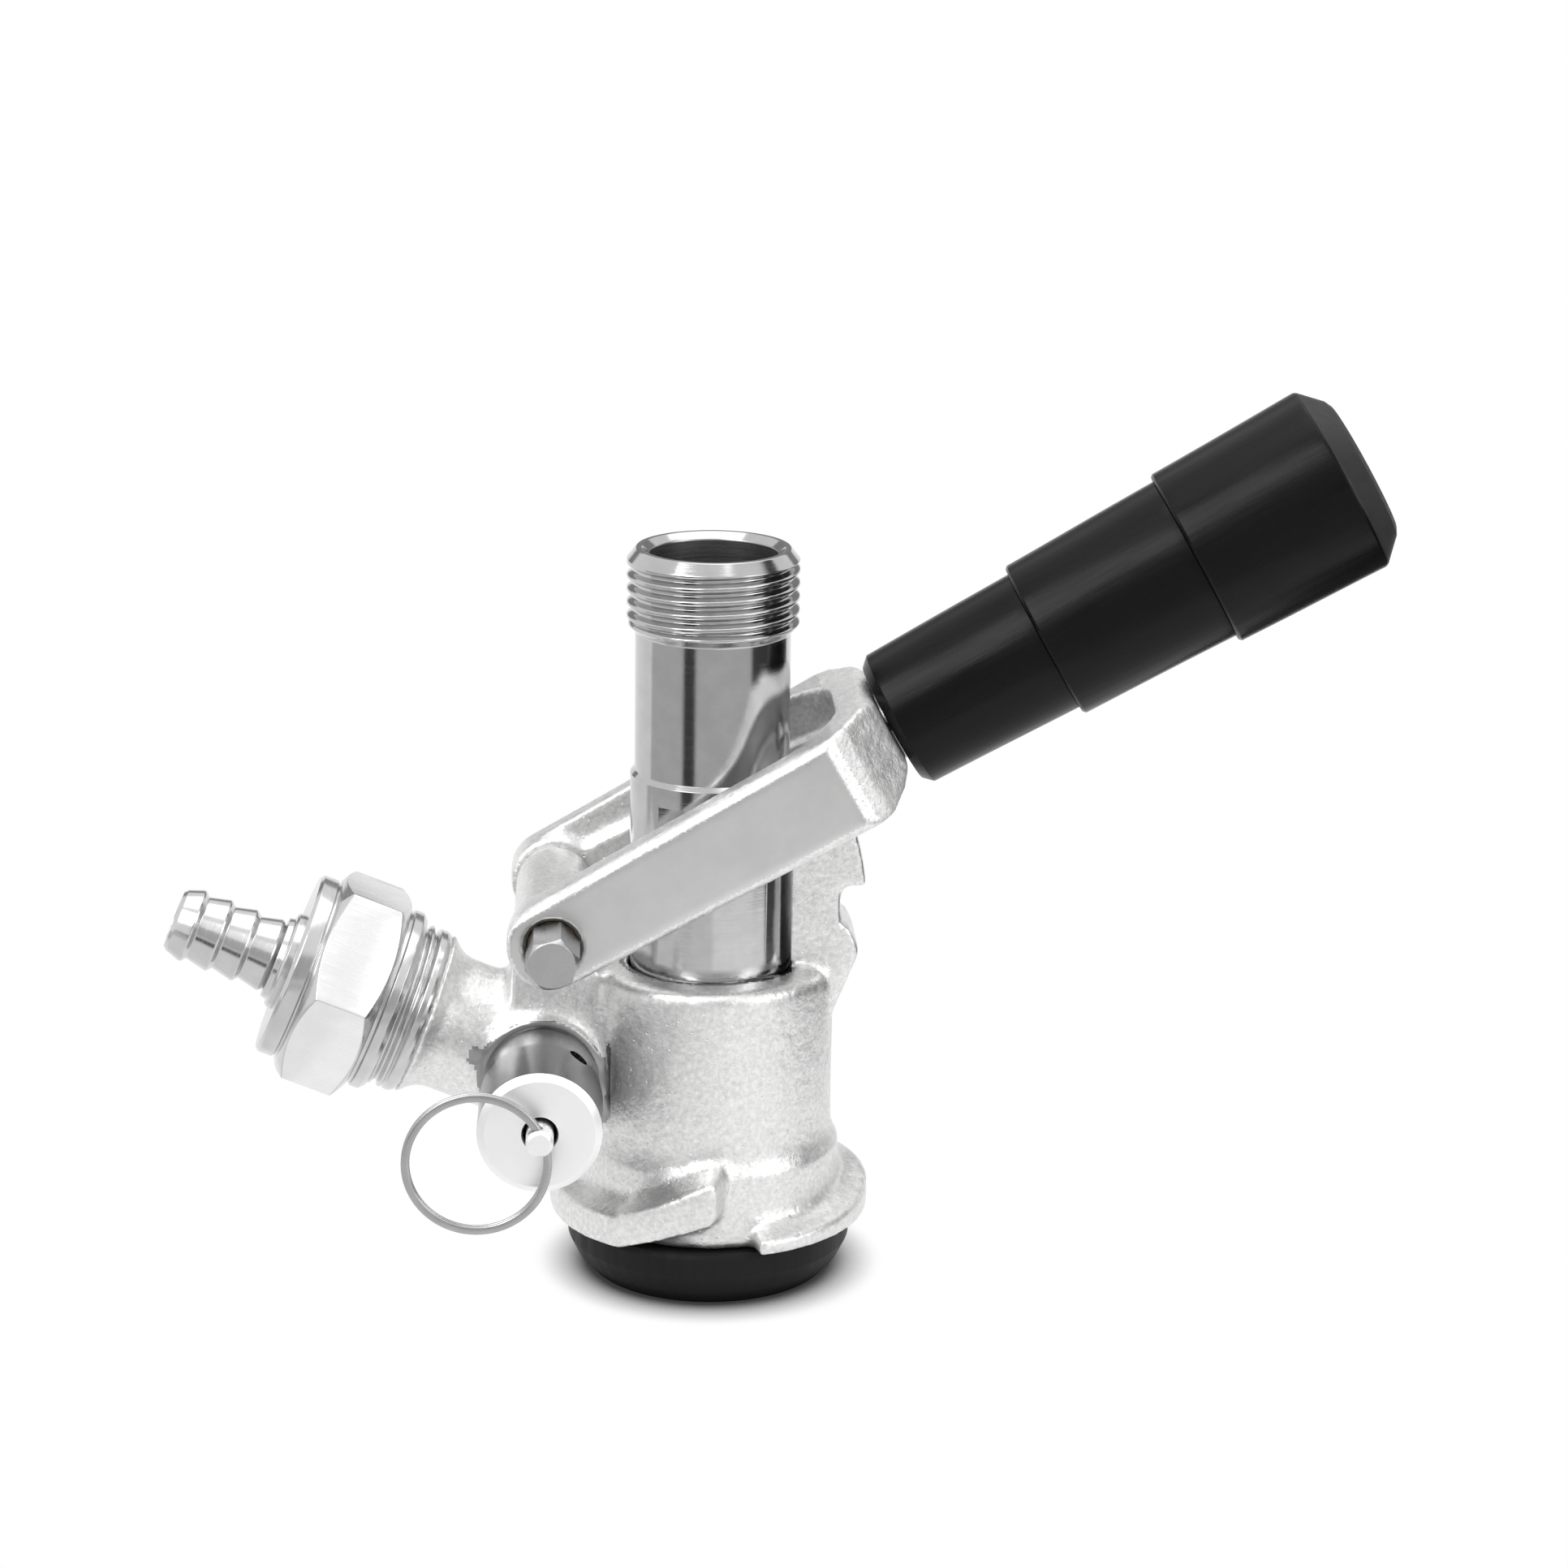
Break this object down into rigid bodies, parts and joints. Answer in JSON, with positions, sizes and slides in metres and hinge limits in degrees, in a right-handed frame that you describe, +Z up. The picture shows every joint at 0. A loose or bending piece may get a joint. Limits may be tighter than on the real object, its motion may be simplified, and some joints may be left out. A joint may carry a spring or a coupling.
{
  "type": "keg coupler",
  "caption": "Lever-handle keg coupler: cast body with bayonet lugs, sliding threaded probe, forked lever with stepped pull grip, side gas inlet with hose barb, and relief valve with pull ring.",
  "frame": {"origin": "centre of the bottom seal's flat underside, on the probe's axis", "axes": "+Z up along the probe, +X from the probe towards the handle, -X towards the gas inlet, -Y towards the relief valve"},
  "size_m": [0.1644, 0.0589, 0.1216],
  "materials": {
    "cast_steel": "satin",
    "bright_steel": "satin",
    "spring_steel": "satin",
    "black_rubber": "matte",
    "black_plastic": "matte",
    "clear_plastic": "satin",
    "brass": "satin"
  },
  "bodies": {
    "base": {"body": "cast_steel", "bottom_seal": "black_rubber", "pivot_bolts": "bright_steel", "gas_nut": "bright_steel", "tailpiece": "bright_steel", "tail_washer": "black_rubber", "gas_check": "black_rubber", "relief_housing": "bright_steel", "relief_cap": "bright_steel"},
    "probe": {"probe": "bright_steel", "probe_orings": "black_rubber", "probe_tip_seal": "black_rubber", "ball_retainer": "bright_steel"},
    "ball": {"check_ball": "clear_plastic"},
    "lever": {"lever": "cast_steel", "pivot_bushings": "brass", "handle_stem": "bright_steel", "stem_nut": "bright_steel"},
    "plunger": {"lock_plunger": "bright_steel", "plunger_spring": "spring_steel"},
    "grip": {"grip": "black_rubber", "grip_plug": "black_plastic", "pull_rod": "bright_steel", "grip_spring": "spring_steel"},
    "relief_stem": {"relief_stem": "bright_steel", "relief_seal": "black_rubber", "relief_spring": "spring_steel"},
    "relief_ring": {"relief_ring": "bright_steel"}
  },
  "joints": [
    {"name": "lever_pivot", "type": "hinge", "parent": "base", "child": "lever", "pos_m": [-0.0212, 0, 0.051], "axis": [0, 1, 0], "range_deg": [0, 27.3]},
    {"name": "probe_slide", "type": "slide", "parent": "base", "child": "probe", "axis": [0, 0, -1], "range_m": [0, 0.0111]},
    {"name": "check_ball_lift", "type": "slide", "parent": "probe", "child": "ball", "axis": [0, 0, 1], "range_m": [0, 0.003]},
    {"name": "latch_slide", "type": "slide", "parent": "lever", "child": "plunger", "axis": [0.8695, 0, 0.4939], "range_m": [-0.0034, 0], "stiffness_N_per_m": 300},
    {"name": "grip_pull", "type": "slide", "parent": "lever", "child": "grip", "axis": [0.8695, 0, 0.4939], "range_m": [0, 0.004], "stiffness_N_per_m": 600},
    {"name": "relief_pull", "type": "slide", "parent": "base", "child": "relief_stem", "axis": [0, -1, 0], "range_m": [0, 0.003], "stiffness_N_per_m": 500},
    {"name": "relief_ring_swing", "type": "hinge", "parent": "relief_stem", "child": "relief_ring", "pos_m": [-0.0228, -0.0317, 0.02931], "axis": [-0.3584, 0, 0.9336], "range_deg": [-6, 100]}
  ],
  "couplings": [
    {"joint": "probe_slide", "follows": "lever_pivot", "m_per_rad": 0.023239}
  ]
}
